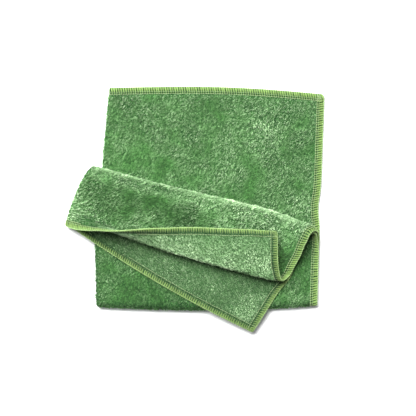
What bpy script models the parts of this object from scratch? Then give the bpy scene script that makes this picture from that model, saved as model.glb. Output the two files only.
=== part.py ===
"""A square microfibre cleaning cloth, 400 mm on a side, folded as it lies on a table.

The cloth is doubled down its length, which leaves a soft fold down its left side. The
doubled strip is folded up over itself at the bottom fold, and turned down again at a
slanting upper fold. That leaves a flap with a free end, whose upper layer is rolled open.
Units are metres: +X is to the right, +Y is away from the viewer and +Z is up.
"""

import math
from collections import namedtuple

import bpy
import numpy as np

# The cloth and how its layers lie on each other.
SIDE = 0.40  # the flat cloth
SHEET = 0.0016  # thickness, with the pile pressed down
PITCH = 0.0026  # between the middles of two layers that lie on each other
FOLD_SWELL = 0.12  # share by which the layers part at the soft fold on the left
SWELL_REACH = 0.06  # share of the strip's width over which that dies away

# The four lines across the doubled strip, in the order in which the cloth reaches them.
# left and right are their ends in plan, at the cloth's edge or at the fold's outer side.
# bow is how far the line swells outwards, and peak is where, as a share of its length.
# radius_left and radius_right are those of the middle of the doubled strip as it turns.
Line = namedtuple("Line", "left right side bow peak radius_left radius_right")
TOP_EDGE = Line((-0.0783, 0.1153), (0.1220, 0.1090), +1, 0.0038, 0.52, 0, 0)
BOTTOM_FOLD = Line((-0.0894, -0.0906), (0.1146, -0.0897), -1, 0.0034, 0.50, 0.0031, 0.0029)
UPPER_FOLD = Line((-0.0930, 0.0400), (0.1150, -0.0192), +1, 0.0053, 0.75, 0.0066, 0.0076)
FLAP_END = Line((-0.1198, -0.0146), (0.0541, -0.1153), -1, 0.0039, 0.53, 0, 0)

# The three panels between those lines: how far the left fold swells to the left, and how
# many rows of faces each takes.
Panel = namedtuple("Panel", "left_swell rows")
BASE = Panel(0.0024, 9)
FRONT = Panel(0.0002, 7)
FLAP = Panel(0.0017, 17)
TURN_ROWS = 8  # rows of faces round a fold
SETTLE_LENGTH = 0.042  # from a plump fold to where its layers lie close

# The roll that opens the flap's upper layer. left and right are the ends of its outer side
# in plan, and its axis is an arc, which swells outwards by bow. The cloth first turns
# tightly and then opens widely. Near the left fold it only lifts: it starts to turn at one
# share of the roll's length, and it is fully turned over by another.
Roll = namedtuple(
    "Roll", "left right bow radius_left radius_right turn back_radius lift_from turned_by"
)
ROLL = Roll(
    left=(-0.1166, -0.0057),
    right=(0.0842, -0.0683),
    bow=0.0043,
    radius_left=0.0055,
    radius_right=0.0056,
    turn=math.radians(149),
    back_radius=0.044,
    lift_from=0.0,
    turned_by=0.60,
)
ROLL_FLAT_ROWS, ROLL_TURN_ROWS = 4, 8  # of the flap's rows, those before and in the roll

# Columns of faces over each layer, and round the soft fold that joins them.
LAYER_COLUMNS, FOLD_COLUMNS = 16, 6

# Where nothing lies under the flap, it sags towards the table.
LEFT_SUPPORT, FRONT_SUPPORT = -0.095, -0.092  # x and y past which it hangs free
LEFT_SAG, FRONT_SAG = 15.0, 6.5  # metres of sag for each square metre past the support

# Where the cloth is tugged out of the plain shape of its folds: how far past a fold's or a
# roll's middle and in from the right edge, how far that reaches, and the shift.
Tug = namedtuple("Tug", "past inward reach_past reach_inward shift")
UPPER_FOLD_TUGS = (
    Tug(0.001, 0.009, 0.009, 0.0062, (0.0042, 0.0000, 0.0006)),
    Tug(-0.006, 0.000, 0.008, 0.0040, (-0.0008, -0.0012, 0.0044)),
    Tug(0.006, 0.000, 0.007, 0.0040, (-0.0034, 0.0004, 0.0010)),
    Tug(0.018, 0.000, 0.011, 0.0160, (-0.0029, 0.0000, 0.0000)),
    Tug(0.057, 0.000, 0.010, 0.0140, (0.0028, 0.0000, 0.0000)),
    Tug(-0.164, 0.000, 0.014, 0.0160, (-0.0020, 0.0000, 0.0000)),
)
ROLL_TUGS = (
    Tug(0.028, 0.000, 0.026, 0.0160, (-0.0026, 0.0000, 0.0000)),
    Tug(0.004, 0.000, 0.007, 0.0060, (0.0000, 0.0022, 0.0000)),
    Tug(0.056, 0.000, 0.022, 0.0240, (0.0000, 0.0000, 0.0034)),
)
# How far the roll's free end stops short of its plain shape, by shares of the roll's length.
SHORT_BY = (
    (-0.02, 0.0016), (0.03, 0.0001), (0.10, -0.0022), (0.15, -0.0033), (0.28, -0.0007),
    (0.43, 0.0014), (0.55, 0.0007), (0.65, 0.0004), (0.78, 0.0001), (0.86, 0.0009), (1.0, 0.0016),
)

# Soft ridges in the upper layers, which leave the lowest one flat on the table.
Ridge = namedtuple("Ridge", "x y heading length width height")
RIDGES = (
    Ridge(-0.020, 0.075, math.radians(40), 0.050, 0.017, 0.0010),
    Ridge(0.060, 0.055, math.radians(115), 0.045, 0.020, 0.0012),
    Ridge(-0.045, 0.012, math.radians(-10), 0.055, 0.015, 0.0010),
    Ridge(0.045, -0.022, math.radians(-35), 0.040, 0.014, 0.0011),
    Ridge(-0.055, -0.065, math.radians(20), 0.035, 0.016, 0.0009),
    Ridge(0.015, -0.085, math.radians(-30), 0.045, 0.014, 0.0012),
)
RESTING = SHEET  # cloth this low lies on the table
FREE = 0.0038  # cloth this high takes the ridges' whole height

GREEN = (0.105, 0.305, 0.085, 1.0)


def smooth(t):
    """0 to 1, level at both ends."""
    t = np.clip(t, 0.0, 1.0)
    return t * t * (3.0 - 2.0 * t)


def along(line):
    """The line's own direction in plan."""
    run = np.subtract(line.right, line.left)
    return run / np.linalg.norm(run)


def outward(line):
    """The plan direction in which the cloth runs as it reaches the line."""
    dx, dy = along(line)
    return line.side * np.array((-dy, dx))


def points_on(line, shares):
    """Plan points on a line, for shares of the strip's width counted from the left fold."""
    swell = line.bow * np.sin(math.pi * shares ** (math.log(0.5) / math.log(line.peak)))
    straight = np.outer(1 - shares, line.left) + np.outer(shares, line.right)
    return straight + np.outer(swell, outward(line))


def half_gap(shares):
    """Half the distance between the doubled strip's two layers."""
    return PITCH / 2 * (1 + FOLD_SWELL * np.exp(-shares / SWELL_REACH))


def level(doubled_below, shares):
    """Height of the middle of the doubled strip, with so many doubled strips below it."""
    return SHEET / 2 + half_gap(shares) * (1 + 4 * doubled_below)


def with_height(plan, heights):
    return np.column_stack((plan, np.broadcast_to(heights, len(plan))))


class Turn:
    """How the doubled strip goes round one fold, for each of its columns."""

    def __init__(self, line, came_from, shares, height, facing):
        self.out, self.run = outward(line), along(line)
        self.facing = facing
        self.radius = line.radius_left + shares * (line.radius_right - line.radius_left)
        self.radius = np.maximum(self.radius, 2 * half_gap(shares))
        reach = self.radius + half_gap(shares) + SHEET / 2
        self.axis = points_on(line, shares) - np.outer(reach, self.out)
        way = self.axis - came_from
        self.slant = (way @ self.run) / (way @ self.out)
        self.height = height

    def at(self, angle):
        """Middle of the strip, and which way its upper layer lies from there."""
        side = self.radius * self.slant * (angle - math.pi / 2)
        plan = (
            self.axis
            + np.outer(self.radius * math.sin(angle), self.out)
            + np.outer(side, self.run)
        )
        middle = with_height(plan, self.height + self.radius * (1 - math.cos(angle)))
        facing = self.facing * np.array((*(-math.sin(angle) * self.out), math.cos(angle)))
        return middle, np.tile(facing, (len(plan), 1))

    def top(self):
        return self.height + 2 * self.radius


def straight_rows(panel, start, end, start_heights, end_heights, facing, shares, steps):
    """Rows of a panel. steps holds, for each row, each column's share of the way."""
    length = np.linalg.norm(end - start, axis=1)
    for step in steps:
        plan = start + step[:, None] * (end - start)
        plan[:, 0] -= panel.left_swell * np.sin(math.pi * step) * (1 - shares) ** 2
        settled = smooth(step * length / SETTLE_LENGTH)
        heights = start_heights + settled * (end_heights - start_heights)
        yield with_height(plan, heights), np.tile((0.0, 0.0, facing), (len(plan), 1))


def even_steps(rows, columns):
    """Row by row, the same share of the way for every column."""
    return [np.full(columns, step) for step in np.linspace(0, 1, rows + 1)]


class RollFrame:
    """Where plan points are, as seen from the centre of the arc that the roll follows."""

    def __init__(self, plan):
        chord = np.subtract(ROLL.right, ROLL.left)
        length = np.linalg.norm(chord)
        run = chord / length
        out = np.array((run[1], -run[0]))
        outer = length**2 / (8 * ROLL.bow) + ROLL.bow / 2
        centre = np.array(ROLL.left) + chord / 2 - out * (outer - ROLL.bow)
        rays = plan - centre
        self.distance = np.linalg.norm(rays, axis=-1)
        self.rays = rays / self.distance[..., None]
        angle = np.arctan2(rays @ run, rays @ out)
        self.share = 0.5 + angle / (2 * math.asin(length / 2 / outer))
        share = np.clip(self.share, 0, 1)
        self.radius = ROLL.radius_left + share * (ROLL.radius_right - ROLL.radius_left)
        self.past_axis = self.distance - (outer - self.radius - SHEET / 2)


def flap_steps(start, end, shares):
    """Row by row, shares of the way that put rows close together round the roll."""
    length = np.linalg.norm(end - start, axis=1)
    first, last = RollFrame(start), RollFrame(end)
    before = first.past_axis / (first.past_axis - last.past_axis)
    turned = before + first.radius * ROLL.turn / length
    before, turned = np.clip(before, 0.3, 0.7), np.clip(turned, 0.5, 0.9)
    at_turn = ROLL_FLAT_ROWS, ROLL_FLAT_ROWS + ROLL_TURN_ROWS
    steps = []
    for row in range(FLAP.rows + 1):
        even = row / FLAP.rows
        stops = np.stack((0 * before, before, turned, 0 * turned + 1), axis=1)
        fitted = [np.interp(row, (0, *at_turn, FLAP.rows), stop) for stop in stops]
        steps.append(even + smooth(shares / 0.25) * (np.array(fitted) - even))
    return steps


def roll_open(points, shares):
    """Rolls what lies past the roll's axis up and back, as two arcs, tight and then wide."""
    frame = RollFrame(points[:, :2])
    past = np.maximum(frame.past_axis, 0)
    way = (frame.share - ROLL.lift_from) / (ROLL.turned_by - ROLL.lift_from)
    turned = np.sin(math.pi / 2 * np.clip(way, 0, 1))
    turn = ROLL.turn * turned
    tight = np.minimum(past / frame.radius, turn)
    back = ROLL.back_radius / np.maximum(turned, 1e-6)
    end = tight + (past - frame.radius * tight) / back
    across = frame.radius * np.sin(tight) + back * (np.sin(end) - np.sin(tight))
    rise = frame.radius * (1 - np.cos(tight)) + back * (np.cos(tight) - np.cos(end))
    moved = points.copy()
    moved[:, :2] += (across - past)[:, None] * frame.rays
    moved[:, 2] += rise
    short = np.interp(frame.share, *zip(*SHORT_BY)) * smooth(past / (0.008 + 0.07 * np.clip(frame.share, 0, 1)))
    moved[:, 1] -= short
    return moved + tugged(ROLL_TUGS, frame.past_axis, SIDE / 2 * (1 - shares))


def ridge_height(x, y):
    """Height of the soft ridges over a place on the table."""
    total = np.zeros(len(x))
    for ridge in RIDGES:
        cos, sin = math.cos(ridge.heading), math.sin(ridge.heading)
        lengthways = (x - ridge.x) * cos + (y - ridge.y) * sin
        sideways = (y - ridge.y) * cos - (x - ridge.x) * sin
        far = (lengthways / ridge.length) ** 2 + (sideways / ridge.width) ** 2
        total += ridge.height * np.exp(-far)
    return total


def settle(points):
    """Adds the ridges."""
    x, y, z = points.T
    lift = ridge_height(x, y) * smooth((z - RESTING) / (FREE - RESTING))
    return np.column_stack((x, y, z + lift))


def sag(points):
    """How far what hangs over nothing sags."""
    left = np.maximum(LEFT_SUPPORT - points[..., 0], 0)
    front = np.maximum(FRONT_SUPPORT - points[..., 1], 0)
    high = smooth((points[..., 2] - level(1, 1.0)) / PITCH)
    return (LEFT_SAG * left**2 + FRONT_SAG * front**2) * high


def tugged(tugs, past, inward):
    """How far tugs shift the cloth, past a fold or roll and in from the right edge."""
    shift = np.zeros((*np.broadcast(past, inward).shape, 3))
    for tug in tugs:
        far = ((past - tug.past) / tug.reach_past) ** 2 + ((inward - tug.inward) / tug.reach_inward) ** 2
        shift += np.exp(-far)[..., None] * tug.shift
    return shift


def surface_normals(points):
    """Unit normals of a grid of points."""
    normals = np.cross(np.gradient(points, axis=0), np.gradient(points, axis=1))
    return normals / np.maximum(np.linalg.norm(normals, axis=2, keepdims=True), 1e-12)


def tugged_rows(rows, shares):
    """The doubled strip's rows, tugged at the upper fold's right end, and sagging."""
    middles, facings = (np.array(part) for part in zip(*rows))
    steps = np.linalg.norm(np.diff(middles, axis=0), axis=2)
    gone = np.concatenate((np.zeros((1, len(shares))), np.cumsum(steps, axis=0)))
    past = gone - gone[BASE.rows + FRONT.rows + TURN_ROWS * 3 // 2]
    before = surface_normals(middles)
    middles = middles + tugged(UPPER_FOLD_TUGS, past, SIDE / 2 * (1 - shares))
    middles[..., 2] -= sag(middles)
    after = surface_normals(middles)
    sign = np.sign((before * facings).sum())
    facings = facings + sign * (after - before)
    facings /= np.linalg.norm(facings, axis=2, keepdims=True)
    return list(zip(middles, facings))


def strip_rows(shares):
    """(middle, facing) of each row of the doubled strip, from the top edge to its free end."""
    base_level, front_level, flap_level = (level(n, shares) for n in range(3))
    start = points_on(TOP_EDGE, shares)
    bottom = Turn(BOTTOM_FOLD, start, shares, base_level, facing=+1)
    upper = Turn(UPPER_FOLD, bottom.axis, shares, front_level, facing=-1)
    end = points_on(FLAP_END, shares)
    angles = np.linspace(0, math.pi, TURN_ROWS + 1)
    columns = len(shares)
    rows = list(
        straight_rows(
            BASE, start, bottom.at(0)[0][:, :2], base_level, base_level, 1.0, shares,
            even_steps(BASE.rows, columns)[:-1],
        )
    )
    rows += [bottom.at(angle) for angle in angles]
    rows += straight_rows(
        FRONT, bottom.at(math.pi)[0][:, :2], upper.at(0)[0][:, :2], bottom.top(),
        front_level, -1.0, shares, even_steps(FRONT.rows, columns)[1:-1],
    )
    rows += [upper.at(angle) for angle in angles]
    flap_start = upper.at(math.pi)[0][:, :2]
    rows += straight_rows(
        FLAP, flap_start, end, upper.top(), flap_level, 1.0, shares,
        flap_steps(flap_start, end, shares)[1:],
    )
    return tugged_rows(rows, shares)


def layer_points(shares, side):
    """Grid of points, row by row, over one layer of the doubled strip: +1 is the upper one."""
    gap = side * half_gap(shares)[:, None]
    points = [middle + gap * facing for middle, facing in strip_rows(shares)]
    if side > 0:
        points[-FLAP.rows :] = [roll_open(row, shares) for row in points[-FLAP.rows :]]
    return np.array(points)


def fold_points():
    """Grid of points round the soft fold on the left, from the upper layer to the lower."""
    shares = np.array((0.0, 0.02))
    gap = half_gap(shares)[0]
    grid = []
    for middle, facing in strip_rows(shares):
        up = facing[0]
        left = middle[0] - middle[1]
        left = left - (left @ up) * up
        left = left / np.linalg.norm(left)
        angles = np.linspace(0, math.pi, FOLD_COLUMNS + 1)[1:-1]
        grid.append([middle[0] + gap * (math.cos(a) * up + math.sin(a) * left) for a in angles])
    return np.array(grid)


def cloth_grid():
    """The cloth's middle surface: rows from the top edge, columns from one side to the other."""
    shares = np.linspace(0, 1, LAYER_COLUMNS + 1)
    upper = layer_points(shares[::-1], +1)
    lower = layer_points(shares, -1)
    grid = np.concatenate((upper, fold_points(), lower), axis=1)
    settled = settle(grid.reshape(-1, 3))
    return settled.reshape(grid.shape)


def sheet_object(name, grid, material):
    """An object made of one sheet of four-sided faces, thickened both ways."""
    rows, columns, _ = grid.shape
    corner = np.arange(rows * columns).reshape(rows, columns)
    faces = np.stack(
        (corner[:-1, :-1], corner[:-1, 1:], corner[1:, 1:], corner[1:, :-1]), axis=-1
    ).reshape(-1, 4)
    mesh = bpy.data.meshes.new(name)
    mesh.from_pydata(grid.reshape(-1, 3).tolist(), [], faces.tolist())
    mesh.materials.append(material)
    mesh.shade_smooth()
    sheet = bpy.data.objects.new(name, mesh)
    bpy.context.scene.collection.objects.link(sheet)
    thicken = sheet.modifiers.new("Thickness", "SOLIDIFY")
    thicken.thickness = SHEET
    thicken.offset = 0
    return sheet


def pile_material():
    """Matt green microfibre."""
    material = bpy.data.materials.new("green microfibre")
    material.use_nodes = True
    shader = material.node_tree.nodes["Principled BSDF"]
    shader.inputs["Base Color"].default_value = GREEN
    shader.inputs["Roughness"].default_value = 0.9
    shader.inputs["Metallic"].default_value = 0.0
    shader.inputs["Sheen Weight"].default_value = 0.4
    return material


def main():
    for old in list(bpy.data.objects):
        bpy.data.objects.remove(old)
    sheet_object("cloth", cloth_grid(), pile_material())


main()
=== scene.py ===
"""A green microfibre cloth, overlocked all round and folded on a white table.

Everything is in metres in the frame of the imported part: +X is to the right, +Y is away from
the viewer and +Z is up from the table.
"""

import math
from collections import namedtuple

import bpy
import numpy as np
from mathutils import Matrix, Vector, noise
from mathutils.bvhtree import BVHTree


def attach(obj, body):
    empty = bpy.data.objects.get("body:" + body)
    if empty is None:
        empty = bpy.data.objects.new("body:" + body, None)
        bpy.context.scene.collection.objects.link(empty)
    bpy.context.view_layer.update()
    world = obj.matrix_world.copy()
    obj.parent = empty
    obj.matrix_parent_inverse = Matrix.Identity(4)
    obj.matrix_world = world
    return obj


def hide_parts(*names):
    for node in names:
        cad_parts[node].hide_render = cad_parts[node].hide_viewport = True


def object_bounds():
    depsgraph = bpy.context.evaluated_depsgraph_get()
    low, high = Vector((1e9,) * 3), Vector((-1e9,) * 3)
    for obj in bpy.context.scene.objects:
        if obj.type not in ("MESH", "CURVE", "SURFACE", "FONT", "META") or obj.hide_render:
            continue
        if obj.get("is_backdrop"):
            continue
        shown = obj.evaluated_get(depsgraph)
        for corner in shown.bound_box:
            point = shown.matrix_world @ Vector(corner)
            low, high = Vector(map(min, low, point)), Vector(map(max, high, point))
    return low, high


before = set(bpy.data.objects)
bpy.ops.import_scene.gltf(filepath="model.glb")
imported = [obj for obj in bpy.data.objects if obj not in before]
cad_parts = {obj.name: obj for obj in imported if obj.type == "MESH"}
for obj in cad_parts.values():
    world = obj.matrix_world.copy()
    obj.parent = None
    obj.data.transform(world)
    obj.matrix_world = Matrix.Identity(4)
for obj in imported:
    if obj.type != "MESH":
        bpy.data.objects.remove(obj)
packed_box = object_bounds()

# ---------------------------------------------------------------------------------------
# The ground fabric: one 400 mm square of warp-knitted polyester. It is doubled down its
# length, folded up at the bottom and down again at a slanting fold, and the top layer of
# the flap is rolled open. The face, with the longer pile, is outside when it is doubled.

SIDE = 0.40  # the cut cloth
PRESSED = 0.0016  # the cloth with its pile pressed down, which sets how the layers lie
GROUND = 0.0008  # the knitted ground alone
PITCH = 0.0026  # between the middles of two layers that lie on each other
FOLD_SWELL, SWELL_REACH = 0.12, 0.06  # how the layers part at the soft fold on the left

# left and right are a line's ends in plan, and bow is how far it swells outwards.
Line = namedtuple("Line", "left right side bow peak radius_left radius_right")
TOP_EDGE = Line((-0.0783, 0.1153), (0.1220, 0.1090), +1, 0.0038, 0.52, 0, 0)
BOTTOM_FOLD = Line((-0.0894, -0.0906), (0.1146, -0.0897), -1, 0.0034, 0.50, 0.0031, 0.0029)
UPPER_FOLD = Line((-0.0930, 0.0400), (0.1150, -0.0192), +1, 0.0053, 0.75, 0.0066, 0.0076)
FLAP_END = Line((-0.1198, -0.0146), (0.0541, -0.1153), -1, 0.0039, 0.53, 0, 0)

Panel = namedtuple("Panel", "left_swell rows")
BASE = Panel(0.0024, 72)
FRONT = Panel(0.0002, 38)
FLAP = Panel(0.0017, 54)
TURN_ROWS = 10
SETTLE_LENGTH = 0.042  # from a plump fold to where its layers lie close
LAYER_COLUMNS, FOLD_COLUMNS = 72, 8

Roll = namedtuple("Roll", "left right bow radius_left radius_right turn back_radius turned_by")
ROLL = Roll(
    left=(-0.1166, -0.0057),
    right=(0.0842, -0.0683),
    bow=0.0043,
    radius_left=0.0055,
    radius_right=0.0056,
    turn=math.radians(149),
    back_radius=0.044,
    turned_by=0.60,
)
ROLL_FLAT_ROWS, ROLL_TURN_ROWS = 22, 13  # of the flap's rows, those before and in the roll

LEFT_SUPPORT, FRONT_SUPPORT = -0.095, -0.092  # x and y past which the flap hangs free
LEFT_SAG, FRONT_SAG = 15.0, 6.5

# Where the cloth is tugged out of the plain shape of its folds: how far past the upper
# fold's or the roll's middle and in from the right edge, how far that reaches, and the shift.
Tug = namedtuple("Tug", "past inward reach_past reach_inward shift")
STRIP_TUGS = (
    Tug(0.001, 0.009, 0.009, 0.0062, (0.0042, 0.0000, 0.0006)),
    Tug(-0.006, 0.000, 0.008, 0.0040, (-0.0008, -0.0012, 0.0044)),
    Tug(0.006, 0.000, 0.007, 0.0040, (-0.0034, 0.0004, 0.0010)),
    Tug(0.018, 0.000, 0.011, 0.0160, (-0.0029, 0.0000, 0.0000)),
    Tug(0.057, 0.000, 0.010, 0.0140, (0.0028, 0.0000, 0.0000)),
    Tug(-0.164, 0.000, 0.014, 0.0160, (-0.0020, 0.0000, 0.0000)),
)
ROLL_TUGS = (
    Tug(0.028, 0.000, 0.026, 0.0160, (-0.0026, 0.0000, 0.0000)),
    Tug(0.004, 0.000, 0.007, 0.0060, (0.0000, 0.0022, 0.0000)),
    Tug(0.056, 0.000, 0.022, 0.0240, (0.0000, 0.0000, 0.0034)),
)
# How far the roll's free end stops short of its plain shape, by shares of the roll's length.
SHORT_BY = (
    (-0.02, 0.0016), (0.03, 0.0001), (0.10, -0.0022), (0.15, -0.0033), (0.28, -0.0007),
    (0.43, 0.0014), (0.55, 0.0007), (0.65, 0.0004), (0.78, 0.0001), (0.86, 0.0009), (1.0, 0.0016),
)
# It comes in over the first of these lengths at the roll's left, and over both at its right.
SHORT_OVER, SHORT_OVER_MORE = 0.008, 0.07

Ridge = namedtuple("Ridge", "x y heading length width height")
RIDGES = (
    Ridge(-0.020, 0.075, math.radians(40), 0.050, 0.017, 0.0010),
    Ridge(0.060, 0.055, math.radians(115), 0.045, 0.020, 0.0012),
    Ridge(-0.045, 0.012, math.radians(-10), 0.055, 0.015, 0.0010),
    Ridge(0.045, -0.022, math.radians(-35), 0.040, 0.014, 0.0011),
    Ridge(-0.055, -0.065, math.radians(20), 0.035, 0.016, 0.0009),
    Ridge(0.015, -0.085, math.radians(-30), 0.045, 0.014, 0.0012),
)
RESTING, FREE = PRESSED, 0.0038  # heights between which the ridges come in
CUT_BACK = 0.0007  # from the outline, for the thread that wraps the cut edge
# How far each cut corner is eased inwards, of a square of the grid: the doubled top edge's
# upper and lower layers, and then the flap's upper and lower layers.
EASED_CORNERS = {(0, 0): 0.36, (0, -1): 0.36, (-1, 0): 0.28, (-1, -1): 0.12}


def smooth(t):
    """0 to 1, level at both ends."""
    t = np.clip(t, 0.0, 1.0)
    return t * t * (3.0 - 2.0 * t)


def along(line):
    run = np.subtract(line.right, line.left)
    return run / np.linalg.norm(run)


def outward(line):
    """The plan direction in which the cloth runs as it reaches the line."""
    dx, dy = along(line)
    return line.side * np.array((-dy, dx))


def points_on(line, shares):
    """Plan points on a line, for shares of the strip's width counted from the left fold."""
    swell = line.bow * np.sin(math.pi * shares ** (math.log(0.5) / math.log(line.peak)))
    straight = np.outer(1 - shares, line.left) + np.outer(shares, line.right)
    return straight + np.outer(swell, outward(line))


def half_gap(shares):
    """Half the distance between the doubled strip's two layers."""
    return PITCH / 2 * (1 + FOLD_SWELL * np.exp(-shares / SWELL_REACH))


def level(doubled_below, shares):
    """Height of the middle of the doubled strip, with so many doubled strips below it."""
    return PRESSED / 2 + half_gap(shares) * (1 + 4 * doubled_below)


def with_height(plan, heights):
    return np.column_stack((plan, np.broadcast_to(heights, len(plan))))


class Turn:
    """How the doubled strip goes round one fold, for each of its columns."""

    def __init__(self, line, came_from, shares, height, facing):
        self.out, self.run = outward(line), along(line)
        self.facing = facing
        self.radius = line.radius_left + shares * (line.radius_right - line.radius_left)
        self.radius = np.maximum(self.radius, 2 * half_gap(shares))
        reach = self.radius + half_gap(shares) + PRESSED / 2
        self.axis = points_on(line, shares) - np.outer(reach, self.out)
        way = self.axis - came_from
        self.slant = (way @ self.run) / (way @ self.out)
        self.height = height

    def at(self, angle):
        """Middle of the strip, and which way its upper layer lies from there."""
        side = self.radius * self.slant * (angle - math.pi / 2)
        plan = (
            self.axis
            + np.outer(self.radius * math.sin(angle), self.out)
            + np.outer(side, self.run)
        )
        middle = with_height(plan, self.height + self.radius * (1 - math.cos(angle)))
        facing = self.facing * np.array((*(-math.sin(angle) * self.out), math.cos(angle)))
        return middle, np.tile(facing, (len(plan), 1))

    def top(self):
        return self.height + 2 * self.radius


def straight_rows(panel, start, end, start_heights, end_heights, facing, shares, steps):
    """Rows of a panel. steps holds, for each row, each column's share of the way."""
    length = np.linalg.norm(end - start, axis=1)
    for step in steps:
        plan = start + step[:, None] * (end - start)
        plan[:, 0] -= panel.left_swell * np.sin(math.pi * step) * (1 - shares) ** 2
        settled = smooth(step * length / SETTLE_LENGTH)
        heights = start_heights + settled * (end_heights - start_heights)
        yield with_height(plan, heights), np.tile((0.0, 0.0, facing), (len(plan), 1))


def even_steps(rows, columns):
    """Row by row, the same share of the way for every column."""
    return [np.full(columns, step) for step in np.linspace(0, 1, rows + 1)]


class RollFrame:
    """Where plan points are, as seen from the centre of the arc that the roll follows."""

    def __init__(self, plan):
        chord = np.subtract(ROLL.right, ROLL.left)
        length = np.linalg.norm(chord)
        run = chord / length
        out = np.array((run[1], -run[0]))
        outer = length**2 / (8 * ROLL.bow) + ROLL.bow / 2
        centre = np.array(ROLL.left) + chord / 2 - out * (outer - ROLL.bow)
        rays = plan - centre
        self.distance = np.linalg.norm(rays, axis=-1)
        self.rays = rays / self.distance[..., None]
        angle = np.arctan2(rays @ run, rays @ out)
        self.share = 0.5 + angle / (2 * math.asin(length / 2 / outer))
        share = np.clip(self.share, 0, 1)
        self.radius = ROLL.radius_left + share * (ROLL.radius_right - ROLL.radius_left)
        self.past_axis = self.distance - (outer - self.radius - PRESSED / 2)


def flap_steps(start, end, shares):
    """Row by row, shares of the way that put rows close together round the roll."""
    length = np.linalg.norm(end - start, axis=1)
    first, last = RollFrame(start), RollFrame(end)
    before = first.past_axis / (first.past_axis - last.past_axis)
    turned = before + first.radius * ROLL.turn / length
    before, turned = np.clip(before, 0.3, 0.7), np.clip(turned, 0.5, 0.9)
    at_turn = ROLL_FLAT_ROWS, ROLL_FLAT_ROWS + ROLL_TURN_ROWS
    steps = []
    for row in range(FLAP.rows + 1):
        even = row / FLAP.rows
        stops = np.stack((0 * before, before, turned, 0 * turned + 1), axis=1)
        fitted = [np.interp(row, (0, *at_turn, FLAP.rows), stop) for stop in stops]
        steps.append(even + smooth(shares / 0.25) * (np.array(fitted) - even))
    return steps


def roll_open(points, shares):
    """Rolls what lies past the roll's axis up and back, as two arcs, tight and then wide."""
    frame_of = RollFrame(points[:, :2])
    past = np.maximum(frame_of.past_axis, 0)
    turned = np.sin(math.pi / 2 * np.clip(frame_of.share / ROLL.turned_by, 0, 1))
    turn = ROLL.turn * turned
    tight = np.minimum(past / frame_of.radius, turn)
    back = ROLL.back_radius / np.maximum(turned, 1e-6)
    end = tight + (past - frame_of.radius * tight) / back
    across = frame_of.radius * np.sin(tight) + back * (np.sin(end) - np.sin(tight))
    rise = frame_of.radius * (1 - np.cos(tight)) + back * (np.cos(tight) - np.cos(end))
    moved = points.copy()
    moved[:, :2] += (across - past)[:, None] * frame_of.rays
    moved[:, 2] += rise
    over = SHORT_OVER + SHORT_OVER_MORE * np.clip(frame_of.share, 0, 1)
    moved[:, 1] -= np.interp(frame_of.share, *zip(*SHORT_BY)) * smooth(past / over)
    return moved + tugged(ROLL_TUGS, frame_of.past_axis, SIDE / 2 * (1 - shares))


def within(oval, x, y):
    """How far within an oval on the table each place is: 1 at its middle, 0 well outside."""
    cos, sin = math.cos(oval.heading), math.sin(oval.heading)
    lengthways = (x - oval.x) * cos + (y - oval.y) * sin
    sideways = (y - oval.y) * cos - (x - oval.x) * sin
    return np.exp(-((lengthways / oval.length) ** 2 + (sideways / oval.width) ** 2))


def ridged(points):
    """The cloth's points, with the soft ridges where it is free to rise."""
    x, y, z = points.T
    height = np.zeros(len(x))
    for ridge in RIDGES:
        height += ridge.height * within(ridge, x, y)
    return np.column_stack((x, y, z + height * smooth((z - RESTING) / (FREE - RESTING))))


def sag(points):
    """How far what hangs over nothing sags."""
    left = np.maximum(LEFT_SUPPORT - points[..., 0], 0)
    front = np.maximum(FRONT_SUPPORT - points[..., 1], 0)
    high = smooth((points[..., 2] - level(1, 1.0)) / PITCH)
    return (LEFT_SAG * left**2 + FRONT_SAG * front**2) * high


def tugged(tugs, past, inward):
    """How far tugs shift the cloth, past a fold or roll and in from the right edge."""
    shift = np.zeros((*np.broadcast(past, inward).shape, 3))
    for tug in tugs:
        far_past = (past - tug.past) / tug.reach_past
        far_inward = (inward - tug.inward) / tug.reach_inward
        shift += np.exp(-(far_past**2 + far_inward**2))[..., None] * tug.shift
    return shift


def unit(vectors):
    return vectors / np.maximum(np.linalg.norm(vectors, axis=-1, keepdims=True), 1e-12)


def grid_normals(grid):
    """Unit normals of a grid of points."""
    return unit(np.cross(np.gradient(grid, axis=0), np.gradient(grid, axis=1)))


def tugged_rows(rows, shares):
    """The doubled strip's rows, tugged along its right edge, and sagging."""
    middles, facings = (np.array(part) for part in zip(*rows))
    steps = np.linalg.norm(np.diff(middles, axis=0), axis=2)
    gone = np.concatenate((np.zeros((1, len(shares))), np.cumsum(steps, axis=0)))
    past = gone - gone[BASE.rows + FRONT.rows + TURN_ROWS * 3 // 2]
    before = grid_normals(middles)
    middles = middles + tugged(STRIP_TUGS, past, SIDE / 2 * (1 - shares))
    middles[..., 2] -= sag(middles)
    after = grid_normals(middles)
    sign = np.sign((before * facings).sum())
    return list(zip(middles, unit(facings + sign * (after - before))))


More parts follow.
